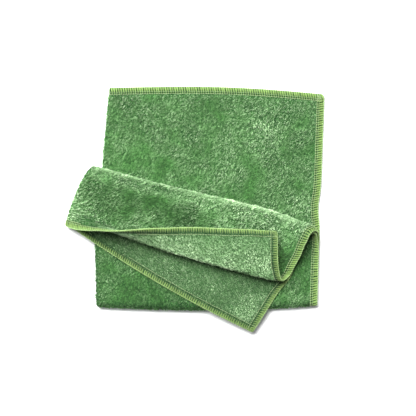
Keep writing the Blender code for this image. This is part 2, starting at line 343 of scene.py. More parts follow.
def strip_rows(shares):
    """(middle, facing) of each row of the doubled strip, from the top edge to its free end."""
    base_level, front_level, flap_level = (level(n, shares) for n in range(3))
    start = points_on(TOP_EDGE, shares)
    bottom = Turn(BOTTOM_FOLD, start, shares, base_level, facing=+1)
    upper = Turn(UPPER_FOLD, bottom.axis, shares, front_level, facing=-1)
    end = points_on(FLAP_END, shares)
    angles = np.linspace(0, math.pi, TURN_ROWS + 1)
    columns = len(shares)
    rows = list(
        straight_rows(
            BASE, start, bottom.at(0)[0][:, :2], base_level, base_level, 1.0, shares,
            even_steps(BASE.rows, columns)[:-1],
        )
    )
    rows += [bottom.at(angle) for angle in angles]
    rows += straight_rows(
        FRONT, bottom.at(math.pi)[0][:, :2], upper.at(0)[0][:, :2], bottom.top(),
        front_level, -1.0, shares, even_steps(FRONT.rows, columns)[1:-1],
    )
    rows += [upper.at(angle) for angle in angles]
    flap_start = upper.at(math.pi)[0][:, :2]
    rows += straight_rows(
        FLAP, flap_start, end, upper.top(), flap_level, 1.0, shares,
        flap_steps(flap_start, end, shares)[1:],
    )
    return tugged_rows(rows, shares)


def layer_points(shares, side):
    """Grid of points, row by row, over one layer of the doubled strip: +1 is the upper one."""
    gap = side * half_gap(shares)[:, None]
    points = [middle + gap * facing for middle, facing in strip_rows(shares)]
    if side > 0:
        points[-FLAP.rows :] = [roll_open(row, shares) for row in points[-FLAP.rows :]]
    return np.array(points)


def fold_points():
    """Grid of points round the soft fold on the left, from the upper layer to the lower."""
    shares = np.array((0.0, 0.02))
    gap = half_gap(shares)[0]
    grid = []
    for middle, facing in strip_rows(shares):
        up = facing[0]
        left = middle[0] - middle[1]
        left = left - (left @ up) * up
        left = left / np.linalg.norm(left)
        angles = np.linspace(0, math.pi, FOLD_COLUMNS + 1)[1:-1]
        grid.append([middle[0] + gap * (math.cos(a) * up + math.sin(a) * left) for a in angles])
    return np.array(grid)


def trim(grid):
    """Cuts the four edges back, by what the thread round them takes up."""
    for lines in (grid, grid[::-1], grid.transpose(1, 0, 2), grid.transpose(1, 0, 2)[::-1]):
        step = lines[1] - lines[0]
        lines[0] += CUT_BACK * unit(step)


def ease_corners(grid):
    """Pulls in the four cut corners, which the overlocker leaves a little round."""
    for (row, column), share in EASED_CORNERS.items():
        inner = grid[row - 1 if row else 1, column - 1 if column else 1]
        grid[row, column] += share * (inner - grid[row, column])


shares = np.linspace(0, 1, LAYER_COLUMNS + 1)
cloth_grid = np.concatenate(
    (layer_points(shares[::-1], +1), fold_points(), layer_points(shares, -1)), axis=1
)
cloth_grid = ridged(cloth_grid.reshape(-1, 3)).reshape(cloth_grid.shape)
ROWS, COLUMNS, _ = cloth_grid.shape


def lengths(grid, axis):
    """Distance along the cloth from the grid's first line, in metres."""
    steps = np.linalg.norm(np.diff(grid, axis=axis), axis=2)
    first = np.zeros_like(np.take(steps, [0], axis=axis))
    return np.cumsum(np.concatenate((first, steps), axis=axis), axis=axis)


trim(cloth_grid)
ease_corners(cloth_grid)
across_cloth, down_cloth = lengths(cloth_grid, 1), lengths(cloth_grid, 0)
from_edge = np.minimum.reduce((
    down_cloth, down_cloth[-1] - down_cloth, across_cloth, across_cloth[:, -1:] - across_cloth
))
cloth_normals = grid_normals(cloth_grid)
cloth_normals *= np.sign(cloth_normals[ROWS // 8, COLUMNS // 4, 2])


def joined_mesh(name, points, *faces):
    """A mesh from an array of points and arrays of three- or four-sided faces."""
    mesh = bpy.data.meshes.new(name)
    corners = np.concatenate([part.ravel() for part in faces]).astype(np.int32)
    sizes = np.concatenate([np.full(len(part), part.shape[1]) for part in faces])
    starts = np.concatenate(([0], np.cumsum(sizes)[:-1])).astype(np.int32)
    mesh.vertices.add(len(points))
    mesh.vertices.foreach_set("co", np.ascontiguousarray(points, np.float32).ravel())
    mesh.loops.add(len(corners))
    mesh.loops.foreach_set("vertex_index", corners)
    mesh.polygons.add(len(sizes))
    mesh.polygons.foreach_set("loop_start", starts)
    mesh.update(calc_edges=True)
    piece = bpy.data.objects.new(name, mesh)
    bpy.context.scene.collection.objects.link(piece)
    return piece


def painted(piece, name, values):
    """Keeps a number for each of the piece's points, for its material to read."""
    kept = piece.data.attributes.new(name, "FLOAT", "POINT")
    kept.data.foreach_set("value", np.ascontiguousarray(values, np.float32))


def mapped(piece, name, corner_places):
    """A map of the piece's faces, from an array of one place for each corner."""
    layer = piece.data.uv_layers.new(name=name)
    layer.data.foreach_set("uv", np.ascontiguousarray(corner_places, np.float32).ravel())


class Wire:
    """A number, colour or direction on its way through a material's nodes."""

    def __init__(self, finish, socket):
        self.finish, self.socket = finish, socket

    def into(self, operation, *values):
        kind = "ShaderNodeMath"
        return self.finish.node(kind, {"operation": operation}, dict(enumerate(values))).out()

    def __add__(self, other):
        return self.into("ADD", self, other)

    def __radd__(self, other):
        return self.into("ADD", other, self)

    def __sub__(self, other):
        return self.into("SUBTRACT", self, other)

    def __rsub__(self, other):
        return self.into("SUBTRACT", other, self)

    def __mul__(self, other):
        return self.into("MULTIPLY", self, other)

    def __rmul__(self, other):
        return self.into("MULTIPLY", other, self)

    def clamped(self):
        return self.into("MINIMUM", self.into("MAXIMUM", self, 0.0), 1.0)

    def between(self, low, high):
        """0 at low and 1 at high, level at both."""
        settings = {"interpolation_type": "SMOOTHSTEP"}
        values = {"Value": self, "From Min": low, "From Max": high}
        return self.finish.node("ShaderNodeMapRange", settings, values).out("Result")


class Node:
    def __init__(self, finish, made):
        self.finish, self.made = finish, made

    def out(self, name=0):
        return Wire(self.finish, self.made.outputs[name])


class Finish:
    """A material, and the nodes that it is made of."""

    def __init__(self, name):
        self.material = bpy.data.materials.new(name)
        self.material.use_nodes = True
        self.tree = self.material.node_tree
        self.shader = self.tree.nodes["Principled BSDF"]

    def node(self, kind, settings=None, values=None):
        made = self.tree.nodes.new(kind)
        for name, setting in (settings or {}).items():
            setattr(made, name, setting)
        self.set(made, values or {})
        return Node(self, made)

    def set(self, made, values):
        for name, value in values.items():
            if isinstance(value, Wire):
                self.tree.links.new(value.socket, made.inputs[name])
            else:
                made.inputs[name].default_value = value

    def surface(self, **values):
        self.set(self.shader, {name.replace("_", " "): value for name, value in values.items()})

    def kept(self, name):
        """A number that the piece keeps for each of its points."""
        return self.node("ShaderNodeAttribute", {"attribute_name": name}).out("Fac")

    def place(self):
        return self.node("ShaderNodeTexCoord").out("Object")

    def patches(self, size, detail=2.0, roughness=0.5):
        """Soft noise from 0 to 1, whose patches are about so many metres wide."""
        values = {"Scale": 1.0 / size, "Detail": detail, "Roughness": roughness}
        values["Vector"] = self.place()
        return self.node("ShaderNodeTexNoise", {}, values).out("Fac")

    def blend(self, share, first, second):
        """A colour between two, by share."""
        settings = {"data_type": "RGBA"}
        return self.node("ShaderNodeMix", settings, {0: share, 6: first, 7: second}).out(2)

    def tinted(self, colour, by):
        """A colour made lighter or darker by a number."""
        grey = self.node("ShaderNodeCombineXYZ", {}, {0: by, 1: by, 2: by}).out()
        settings = {"operation": "MULTIPLY"}
        return self.node("ShaderNodeVectorMath", settings, {0: colour, 1: grey}).out()

    def raised(self, height, distance):
        """A direction that makes the surface look raised by height, 1 being so many metres."""
        values = {"Height": height, "Distance": distance, "Strength": 1.0}
        return self.node("ShaderNodeBump", {}, values).out()


def pressed_pile(name, gap, middle, tip, nap):
    """The ground with the roots of its pile, seen between tufts and where pile is pressed, with
    painted shade between the tufts and along the stitched band.
    """
    finish = Finish(name)
    # Painted shade, with the pressed knit: the ground is painted darker near the cut edge, under
    # and beside the stitched band, and in full colour from 9 mm in.
    out_of_band_shade = finish.kept("from_edge").between(0.0050, 0.0090)
    cell = finish.node(
        "ShaderNodeTexVoronoi", {"feature": "F1"}, {"Vector": finish.place(), "Scale": 1 / nap}
    ).out("Distance")
    fine = finish.patches(nap / 2, detail=3.0)
    broad = finish.patches(0.018)
    tuft = (1.0 - cell).between(0.15, 0.95)
    # Painted shade: the ground between the tufts is darkened towards the gap colour.
    colour = finish.blend(0.5 * tuft, gap, middle)
    colour = finish.blend(0.5 * (fine * tuft).between(0.35, 0.75), colour, tip)
    finish.surface(
        Base_Color=finish.tinted(colour, (0.75 + 0.5 * broad) * (0.60 + 0.40 * out_of_band_shade)),
        Roughness=0.92,
        Specular_IOR_Level=0.2,
        Normal=finish.raised(tuft + 0.5 * fine, 0.0006),
    )
    return finish.material


# The painted shade deep between the pile's tufts and at its roots, and the pile's colour along
# its fibres and at their split tips, on the cloth's darker face and on its paler back.
FACE_GAP_SHADE, BACK_GAP_SHADE = (0.010, 0.050, 0.011, 1), (0.020, 0.062, 0.018, 1)
FACE_GREEN, BACK_GREEN = (0.083, 0.240, 0.060, 1), (0.105, 0.235, 0.080, 1)
FACE_TIP, BACK_TIP = (0.44, 0.56, 0.36, 1), (0.42, 0.54, 0.34, 1)

# The ground's faces: a square for each of the grid's on either side, and the cut rim.
number = np.arange(ROWS * COLUMNS).reshape(ROWS, COLUMNS)
squares = np.stack((number[:-1, :-1], number[:-1, 1:], number[1:, 1:], number[1:, :-1]), axis=-1)
edge_loop = np.concatenate((number[0, :-1], number[:-1, -1], number[-1, :0:-1], number[:0:-1, 0]))
edge_next = np.roll(edge_loop, -1)
other_side = ROWS * COLUMNS
faces_out = squares.reshape(-1, 4)
faces_in = faces_out[:, ::-1] + other_side
rim = np.stack((edge_loop + other_side, edge_next + other_side, edge_next, edge_loop), axis=1)
half = cloth_normals * GROUND / 2
ground_points = np.concatenate(
    ((cloth_grid + half).reshape(-1, 3), (cloth_grid - half).reshape(-1, 3))
)
ground = joined_mesh("ground_fabric", ground_points, faces_out, faces_in, rim)
ground.data.materials.append(pressed_pile("face_ground", FACE_GAP_SHADE, FACE_GREEN, FACE_TIP, 0.0021))
ground.data.materials.append(pressed_pile("back_ground", BACK_GAP_SHADE, BACK_GREEN, BACK_TIP, 0.0016))
painted(ground, "from_edge", np.tile(from_edge.ravel(), 2))
slots = np.zeros(len(ground.data.polygons), np.int32)
slots[len(faces_out) : len(faces_out) + len(faces_in)] = 1
ground.data.polygons.foreach_set("material_index", slots)
ground.data.shade_smooth()
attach(ground, "root")
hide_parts("cloth")

# ---------------------------------------------------------------------------------------
# The pile: split polyester loops, brushed up into small tufts on both sides of the ground
# and longer on the face. In patches it has been stroked down, and looks smooth and deep
# green; between them it stands, and shows pale tips and dark gaps, which painted shade
# makes darker still.

rng = np.random.default_rng(20)
# The size of the bundles of fibre and of the locks that they gather in, how far they lean
# where they lie and where they stand, and how far they draw in to the middle of their lock.
Pile = namedtuple("Pile", "length width lock_length lock_width lying standing gather")
FACE_PILE = Pile(0.0019, 0.00042, 0.0022, 0.00085, 1.15, 0.60, 0.95)
BACK_PILE = Pile(0.0014, 0.00040, 0.0019, 0.00085, 1.10, 0.60, 0.90)
DENSITY = 5.45e6  # bundles to a square metre
SHORTEST, ROOTED = 0.0004, 0.0002  # of a bundle, and how deep they go into the ground
NAP = 0.55  # angle of the locks of fibre to the cloth's length
WAVER = 0.8  # how far the nap wavers over the cloth
LOCK_LEAN, FIBRE_LEAN = 0.40, 0.12  # how unevenly locks lean, and bundles within a lock
FIBRE_TURN, FIBRE_TWIST = 0.22, 0.6  # how far bundles stray from their lock's way, and twist
CREST_TURN = 3.0  # how far round the pile is brushed on the crest of the upper fold
BACK_STROKED = 1.5  # how far the pile is turned on the back of the flap's lower layer
BAND, PAST_BAND = 0.0062, 0.003  # along the edge the stitches press the pile down, then less
ROOM = 0.012  # how far off another layer no longer presses on the pile
OPEN_SKY = 0.4  # share of open sky above which the pile is made in full
CLEAR, ABOVE_TABLE = 0.0003, 0.0001  # off the ground fabric and the table, so nothing touches

# How far a patch counts, and the least and the most that pile shows as standing.
PATCHED, LOWEST, HIGHEST = 0.55, -0.8, 1.5
# Where the pile stands (+1) or lies smooth (-1), and how far it is brushed aside from the
# nap, as seen from above.
Patch = namedtuple("Patch", "x y length width heading standing aside", defaults=(0,))
BASE_PATCHES = (
    Patch(0.000, 0.055, 0.120, 0.060, 0.0, 0.0, -0.3),
    Patch(0.064, 0.077, 0.026, 0.013, 1.65, 1.4, 1.0),
    Patch(-0.007, 0.096, 0.011, 0.007, 0.0, 0.6),
    Patch(-0.005, 0.068, 0.008, 0.006, 0.8, 0.5),
    Patch(0.033, 0.039, 0.015, 0.009, -0.5, 0.8),
    Patch(0.077, 0.031, 0.014, 0.008, 1.57, 0.6),
    Patch(-0.066, 0.103, 0.014, 0.007, 0.2, 0.6),
    Patch(-0.038, 0.044, 0.028, 0.010, -0.15, -0.9),
    Patch(-0.061, 0.047, 0.014, 0.012, 0.0, -0.7),
    Patch(0.103, 0.080, 0.010, 0.010, 1.0, -0.6),
    Patch(0.088, 0.092, 0.018, 0.014, 0.0, 0.9),
    Patch(-0.061, 0.087, 0.026, 0.020, 0.0, 0.0, -1.6),
    Patch(0.010, 0.098, 0.022, 0.012, 0.0, -0.2, -1.6),
    Patch(0.052, 0.019, 0.017, 0.009, -0.35, -0.9),
    Patch(0.056, 0.040, 0.014, 0.008, 1.57, -0.8),
    Patch(-0.044, 0.107, 0.009, 0.006, 0.0, -0.5),
    Patch(-0.066, 0.075, 0.012, 0.009, 1.2, -0.6),
    Patch(0.021, 0.082, 0.014, 0.010, 0.5, -0.5),
)
FRONT_PATCHES = (
    Patch(-0.066, -0.038, 0.016, 0.011, 0.4, 0.6),
    Patch(-0.070, -0.075, 0.020, 0.012, 0.0, -0.7),
    # Painted shade on the front beside the flap's right edge, where its shadow falls.
    Patch(0.102, -0.052, 0.024, 0.009, 1.57, -0.8),
    Patch(-0.040, -0.070, 0.070, 0.030, -0.3, -0.5),
    # Painted shade on the front's lower right, under the flap.
    Patch(0.090, -0.075, 0.040, 0.030, 0.0, -0.4),
)
FLAP_PATCHES = (
    Patch(-0.050, 0.010, 0.070, 0.020, -0.3, 0.0, -0.8),
    Patch(-0.091, 0.004, 0.015, 0.009, 0.0, 0.7),
    Patch(-0.103, 0.019, 0.013, 0.012, 1.1, 0.4),
    Patch(-0.010, 0.001, 0.011, 0.009, 0.6, 0.9),
    Patch(0.045, -0.004, 0.013, 0.007, -0.3, 0.9),
    Patch(-0.061, -0.002, 0.023, 0.010, -0.1, -1.0),
    Patch(-0.033, 0.005, 0.015, 0.009, -0.2, -0.6),
    Patch(0.015, -0.004, 0.010, 0.007, 0.3, -0.9),
    # Painted shade in the trough beside the roll: the pile is set lying here and painted darker.
    Patch(0.086, -0.047, 0.008, 0.017, -0.15, -2.4),
    Patch(-0.078, 0.018, 0.014, 0.010, 0.0, -0.7),
    # Painted highlight where the flap's edge curls up at the left: the pile is painted paler
    # here.
    Patch(-0.100, -0.011, 0.022, 0.004, -0.3, 1.6),
    Patch(-0.022, -0.002, 0.014, 0.008, 0.0, -0.5),
    Patch(0.068, -0.014, 0.028, 0.011, -0.3, 0.9),
)
BACK_PATCHES = (
    Patch(-0.006, -0.034, 0.028, 0.008, -0.14, 0.8),
    Patch(0.064, -0.042, 0.018, 0.021, 0.0, 0.8, -0.5),
    Patch(0.031, -0.031, 0.010, 0.008, 0.0, -0.6),
    Patch(0.051, -0.092, 0.016, 0.013, 0.0, 2.6),
    Patch(0.010, -0.068, 0.075, 0.022, -0.45, 0.7),
)


def over_patches(patches, x, y):
    """How far the pile stands, and is brushed aside, at each place."""
    total = np.zeros((2, len(x)))
    for patch in patches:
        total += np.outer((patch.standing, patch.aside), within(patch, x, y))
    return total


def open_air(side):
    """For each grid point: how much of its sky is open, and the room straight over it. The
    way straight up counts three times."""
    down = unit(np.gradient(cloth_grid, axis=0))
    sky, room = np.zeros((ROWS, COLUMNS)), np.full((ROWS, COLUMNS), ROOM)
    up = np.array((0.0, 0.0, 1.0))
    for row in range(ROWS):
        for column in range(COLUMNS):
            normal = side * cloth_normals[row, column]
            start = cloth_grid[row, column] + normal * (GROUND / 2 + CLEAR)
            ahead = down[row, column]
            aside = np.cross(normal, ahead)
            ways = (normal, normal + ahead, normal - ahead, normal + aside, normal - aside)
            for way in (*ways, up) if normal[2] > 0 else ways:
                reach = ROOM * np.linalg.norm(way)
                distance = ground_tree.ray_cast(start, way, reach)[3]
                if distance is None and way[2] < 0 and start[2] + way[2] * ROOM < 0:
                    distance = start[2] / -way[2] * np.linalg.norm(way)
                sky[row, column] += (distance is None) * (3 if way is up else 1)
                if way is normal and distance is not None:
                    room[row, column] = distance
    return sky / 5, room


ground_faces = np.concatenate((faces_out, faces_in, rim))
ground_tree = BVHTree.FromPolygons(ground_points.tolist(), ground_faces.tolist())
down_step, across_step = np.gradient(cloth_grid, axis=0), np.gradient(cloth_grid, axis=1)
one_down = cloth_grid[1:, :-1] - cloth_grid[:-1, :-1]
one_across = cloth_grid[:-1, 1:] - cloth_grid[:-1, :-1]
square_areas = np.linalg.norm(np.cross(one_down, one_across), axis=2)


def cloth_noise(size, seed):
    """Soft noise over the flat cloth, with patches about so big."""
    flat = np.stack((across_cloth, down_cloth), axis=2).reshape(-1, 2) / size
    values = [noise.fractal((u, v, seed), 0.9, 2.0, 3) for u, v in flat]
    return np.array(values).reshape(ROWS, COLUMNS)


class Places:
    """Random places on one side of the cloth, within squares of the grid."""

    def __init__(self, counts):
        squares = np.repeat(np.arange(counts.size), counts.ravel())
        self.rows, self.columns = np.divmod(squares, counts.shape[1])
        self.s, self.t = rng.random((2, len(squares)))

    def only(self, chosen):
        for name in ("rows", "columns", "s", "t"):
            setattr(self, name, getattr(self, name)[chosen])

    def of(self, grid):
        """What a grid of numbers or vectors is at these places."""
        shape = (-1,) + (1,) * (grid.ndim - 2)
        s, t = self.s.reshape(shape), self.t.reshape(shape)
        rows, columns = self.rows, self.columns
        near = grid[rows, columns] * (1 - t) + grid[rows, columns + 1] * t
        far = grid[rows + 1, columns] * (1 - t) + grid[rows + 1, columns + 1] * t
        return near * (1 - s) + far * s


def scattered(a, b, seed):
    """A number from 0 to 1 for each pair of whole numbers."""
    value = np.sin(a * 127.1 + b * 311.7 + seed * 74.7) * 43758.5453
    return value - np.floor(value)


def nearest_locks(u, v, pile, side):
    """The nearest lock to each place on the flat cloth: its two numbers, and the way to its
    middle, across it and along it. A middle is anywhere in its cell but close to the sides."""
    across_lock = (u * math.cos(NAP) - v * math.sin(NAP)) / pile.lock_width
    along_lock = (u * math.sin(NAP) + v * math.cos(NAP)) / pile.lock_length
    nearest, found = np.full(len(u), np.inf), np.zeros((4, len(u)))
    for a_step in (-1, 0, 1):
        for b_step in (-1, 0, 1):
            a, b = np.floor(across_lock) + a_step, np.floor(along_lock) + b_step
            to_a = a + 0.12 + 0.76 * scattered(a, b, side) - across_lock
            to_b = b + 0.12 + 0.76 * scattered(a, b, side + 5) - along_lock
            distance = np.hypot(to_a, to_b)
            nearer = distance < nearest
            nearest = np.where(nearer, distance, nearest)
            way = (a, b, to_a * pile.lock_width, to_b * pile.lock_length)
            found = np.where(nearer, way, found)
    return found


# The grid's rows at which one piece of pile ends and the next begins. Two pieces share the
# base, so that none has more than 200,000 faces.
middle_row = BASE.rows // 2 - 1
bottom_row = BASE.rows + TURN_ROWS // 2
crest_row = BASE.rows + FRONT.rows + TURN_ROWS + TURN_ROWS // 2
roll_row = BASE.rows + FRONT.rows + 2 * TURN_ROWS + ROLL_FLAT_ROWS
CREST_ROWS = 4.0  # how many rows the crest of the upper fold reaches, either way


def on_crest(rows):
    """How near each row is to the upper fold's crest, where the pile opens and is painted paler
    as a highlight.
    """
    return np.exp(-(((rows - crest_row - 1) / CREST_ROWS) ** 2))


def upright_pile(name, pile, side, first_row, last_row, patches, material):
    """One joined mesh of fibre bundles, on one side of some of the grid's rows."""
    sky, room = skies[side]
    sky = np.minimum.reduce((sky[:-1, :-1], sky[1:, :-1], sky[:-1, 1:], sky[1:, 1:]))
    wanted = square_areas * DENSITY * np.clip(sky / OPEN_SKY, 0, 1)
    wanted[:first_row], wanted[last_row:] = 0, 0
    places = Places(rng.poisson(wanted))
    places.only(places.of(from_edge) > BAND)
    total = len(places.s)
    normal = side * unit(places.of(cloth_normals))
    down, across = unit(places.of(down_step)), unit(places.of(across_step))
    root = places.of(cloth_grid) + normal * (GROUND / 2 - ROOTED)
    u, v = places.of(across_cloth), places.of(down_cloth)
    wander = places.of(wander_noise)
    a, b, to_a, to_b = nearest_locks(u + wander[:, 0], v + wander[:, 1], pile, side)
    along_lock = math.sin(NAP) * across + math.cos(NAP) * down
    across_lock = math.cos(NAP) * across - math.sin(NAP) * down
    nap = along_lock * side
    # Near the crest the pile fans open, and its fibres are painted paler there as a highlight.
    crest_fan_and_highlight = on_crest(places.rows + places.s) * (side > 0)
    tone = scattered(a, b, 11)

    # How far each bundle leans, and which way. What stands is also less combed.
    standing = 0.5 + 0.75 * places.of(standing_noise[side])
    more_standing, aside = over_patches(patches, *root[:, :2].T)
    shown = np.clip(standing + PATCHED * more_standing, LOWEST, HIGHEST)
    standing = np.clip(shown, 0, 1)
    lean = pile.lying + (pile.standing - pile.lying) * standing
    lean = lean + LOCK_LEAN * (scattered(a, b, 12) - 0.5) + rng.normal(0, FIBRE_LEAN, total)
    loose = 0.35 + 0.7 * standing
    heading = WAVER * places.of(heading_noise[side]) + loose * (scattered(a, b, 13) - 0.5)
    turned = BACK_STROKED * (1 + 2 * np.clip(shown - 1, 0, 0.5))
    heading = heading + turned * (places.columns > COLUMNS / 2) * (side < 0)
    heading = heading + aside * (1 - crest_fan_and_highlight) + CREST_TURN * crest_fan_and_highlight
    heading = (heading + rng.normal(0, FIBRE_TURN, total))[:, None]
    lay = np.cos(heading) * nap + np.sin(heading) * np.cross(normal, nap)

    # Bundles are short near the stitches and under other layers, and bend at a knee.
    length = pile.length * (0.75 + 0.35 * scattered(a, b, 14)) * rng.uniform(0.85, 1.1, total)
    length = length * (0.7 + 0.6 * tone)
    length = length * np.interp(places.of(from_edge), (BAND, BAND + PAST_BAND), (0.5, 1.0))
    length = np.minimum(length, SHORTEST + 0.6 * places.of(room))[:, None]
    gathered = to_a[:, None] * across_lock + 0.5 * to_b[:, None] * along_lock
    gathered = gathered * (pile.gather * (0.30 + 0.70 * standing) * (1 - 0.7 * crest_fan_and_highlight))[:, None]
    half_lean, lean = (0.55 * lean)[:, None], lean[:, None]
    knee = root + length * 0.5 * (np.cos(half_lean) * normal + np.sin(half_lean) * lay)
    tip = knee + length * 0.5 * (np.cos(lean) * normal + np.sin(lean) * lay) + 0.6 * gathered
    knee = knee + 0.4 * gathered
    twist = rng.normal(0, FIBRE_TWIST, total)[:, None]
    flat = np.cos(twist) * np.cross(normal, lay) + np.sin(twist) * lay
    wide = pile.width / 2 * rng.uniform(0.75, 1.2, total)[:, None] * flat
    points = np.stack((root, knee - wide, knee + wide, tip), axis=1)
    points[..., 2] = np.maximum(points[..., 2], ABOVE_TABLE)

    # Each is two triangles with a place of its own in the map that the finish is kept on.
    first = np.arange(total)[:, None] * 4
    triangles = np.stack((first + (0, 1, 2), first + (1, 3, 2)), axis=1).reshape(-1, 3)
    piece = joined_mesh(name, points.reshape(-1, 3), triangles)
    painted(piece, "rise", np.tile((0.0, 0.5, 0.5, 1.0), total))
    painted(piece, "tone", np.repeat(0.7 * tone + 0.3 * rng.random(total), 4))
    painted(piece, "standing", np.repeat(shown, 4))
    painted(piece, "crest_fan_and_highlight", np.repeat(crest_fan_and_highlight, 4))
    cells = math.ceil(math.sqrt(total))
    corner = np.stack(np.divmod(np.arange(total), cells), axis=1)[:, None]
    bundle = np.array(((0.5, 0.05), (0.1, 0.5), (0.9, 0.5), (0.1, 0.5), (0.5, 0.95), (0.9, 0.5)))
    mapped(piece, "OFBake", (corner + bundle) / cells)
    piece.data.materials.append(material)
    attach(piece, "root")
    return piece


def fibre(name, gap, middle, tip):
    """Polyester microfibre: its green, with painted shade towards the root, and pale where the
    split tip scatters.
    """
    finish = Finish(name)
    rise, tone, standing = finish.kept("rise"), finish.kept("tone"), finish.kept("standing")
    # Painted highlight: on the crest the roots are not darkened and the tips are painted paler.
    crest_fan_and_highlight = finish.kept("crest_fan_and_highlight")
    # Painted shade: each bundle is darkened from its green towards the gap colour at its root.
    colour = finish.blend((rise.between(0.0, 0.5) + crest_fan_and_highlight).clamped(), gap, middle)
    even = 0.5 * standing.between(1.0, 1.5)
    pale = (0.06 + 0.75 * standing + 0.1 * crest_fan_and_highlight) * (0.1 + 1.5 * tone) * (1 - even) + even
    pale = pale * rise.between(0.35, 1.05)
    colour = finish.blend((pale + 0.12 * crest_fan_and_highlight).clamped(), colour, tip)
    finish.surface(
        Base_Color=finish.tinted(colour, (0.30 + 1.15 * tone) * (0.80 + 0.4 * standing)),
        Roughness=0.75,
        Specular_IOR_Level=0.25,
        Sheen_Weight=0.08,
        Sheen_Roughness=0.4,
    )
    return finish.material


skies = {side: open_air(side) for side in (1, -1)}
standing_noise = {1: cloth_noise(0.016, 3.1), -1: cloth_noise(0.014, 9.4)}
heading_noise = {1: cloth_noise(0.040, 17.7), -1: cloth_noise(0.036, 31.2)}
wander_noise = 0.004 * np.stack((cloth_noise(0.035, 41.0), cloth_noise(0.035, 53.0)), axis=2)
face_fibre = fibre("face_fibre", FACE_GAP_SHADE, FACE_GREEN, FACE_TIP)
back_fibre = fibre("back_fibre", BACK_GAP_SHADE, BACK_GREEN, BACK_TIP)
pile_pieces = [
    upright_pile(name, FACE_PILE, 1, *rows, patches, face_fibre)
    for name, rows, patches in (
        ("pile_base_far", (0, middle_row), BASE_PATCHES),
        ("pile_base_near", (middle_row, bottom_row), BASE_PATCHES),
        ("pile_front", (bottom_row, crest_row), FRONT_PATCHES),
        ("pile_flap", (crest_row, roll_row), FLAP_PATCHES),
        ("pile_roll", (roll_row, ROWS), FLAP_PATCHES),
    )
]
pile_pieces.append(upright_pile("pile_back", BACK_PILE, -1, 0, ROWS, BACK_PATCHES, back_fibre))

# ---------------------------------------------------------------------------------------
# The overlocked edge: bulky looper threads wrap the cut edge and lock together along it,
# and two finer needle threads hold them down, 4 mm and 6 mm in. It goes once round.

STITCH = 0.0022  # from one stitch to the next
Pass = namedtuple("Pass", "inward lift advance half_width half_height")
# A looper's way round the edge: inward from the cut edge, off the cloth's middle towards
# its face, on to the next stitch as a share of one, and the thread's half width and height.
LOOPER = (
    Pass(0.0062, 0.00030, 0.00, 0.00016, 0.00012),
    Pass(0.0050, 0.00060, 0.06, 0.00042, 0.00020),
    Pass(0.0041, 0.00056, 0.14, 0.00052, 0.00020),
    Pass(0.0031, 0.00074, 0.24, 0.00072, 0.00026),
    Pass(0.0019, 0.00076, 0.36, 0.00082, 0.00028),
    Pass(0.0010, 0.00056, 0.48, 0.00082, 0.00026),
    Pass(0.0002, 0.00030, 0.58, 0.00082, 0.00024),
    Pass(0.0000, 0.00000, 0.66, 0.00082, 0.00024),
    Pass(0.0002, -0.00042, 0.74, 0.00080, 0.00022),
    Pass(0.0012, -0.00062, 0.82, 0.00076, 0.00026),
    Pass(0.0028, -0.00064, 0.91, 0.00064, 0.00024),
    Pass(0.0044, -0.00034, 0.98, 0.00020, 0.00010),
)
# The lock along the edge, and the needles' stitches, as beads that each overlap the next.
LOCK = (
    Pass(0.0003, 0.00060, -0.66, 0.00012, 0.00012),
    Pass(0.0001, 0.00044, -0.38, 0.00050, 0.00042),
    Pass(-0.0002, 0.00008, 0.00, 0.00060, 0.00052),
    Pass(0.0001, -0.00034, 0.38, 0.00048, 0.00040),
    Pass(0.0003, -0.00056, 0.66, 0.00012, 0.00012),
)
OUTER_NEEDLE, INNER_NEEDLE, BACK_NEEDLE = (
    tuple(
        Pass(inward, side * (0.00062 + rise), advance, size, size)
        for advance, rise, size in (
            (-0.44, 0.00000, 0.00014),
            (-0.24, 0.00022, wide),
            (0.24, 0.00022, wide),
            (0.44, 0.00000, 0.00014),
        )
    )
    for inward, side, wide in ((0.0042, 1, 0.00036), (0.0061, 1, 0.00032), (0.0060, -1, 0.00026))
)
SIDES_OF_THREAD = 6
SLIP = 0.001  # how far uneven stitches slip in or out, where they are this far in:
SLIPS_PAST = 0.002
SMALL_STEP = 0.0004  # to find which way a thread is wide
SUNK_PAST = 0.004  # how far in a looper has sunk all the way into the pile, on the back
inward_stops = np.linspace(0, 0.008, 9)


def along_side(grid, normals):
    """Points and normals at inward_stops from the first row of a grid."""
    gone = lengths(grid, 0)

    def at_stops(values):
        columns = [
            [np.interp(inward_stops, gone[:, c], values[:, c, k]) for k in range(3)]
            for c in range(grid.shape[1])
        ]
        return np.array(columns).transpose(0, 2, 1)

    return at_stops(grid), at_stops(normals)


near = slice(0, 9)  # the grid's first lines, which reach past the last of those stops
turned_grid, turned_normals = cloth_grid.transpose(1, 0, 2), cloth_normals.transpose(1, 0, 2)
far_edge = along_side(cloth_grid[near], cloth_normals[near])
lower_right = along_side(turned_grid[::-1][near], turned_normals[::-1][near])
flap_edge = along_side(cloth_grid[::-1][near], cloth_normals[::-1][near])
upper_right = along_side(turned_grid[near], turned_normals[near])
round_edge = [
    np.concatenate((a, b, c[::-1], d[::-1]))
    for a, b, c, d in zip(far_edge, lower_right, flap_edge, upper_right)
]
edge_places, edge_normals = round_edge
edge_steps = np.linalg.norm(np.diff(edge_places[:, 0], axis=0), axis=1)
edge_run = np.concatenate(([0], np.cumsum(edge_steps)))
stitches = round(edge_run[-1] / STITCH)
stitch_length = edge_run[-1] / stitches


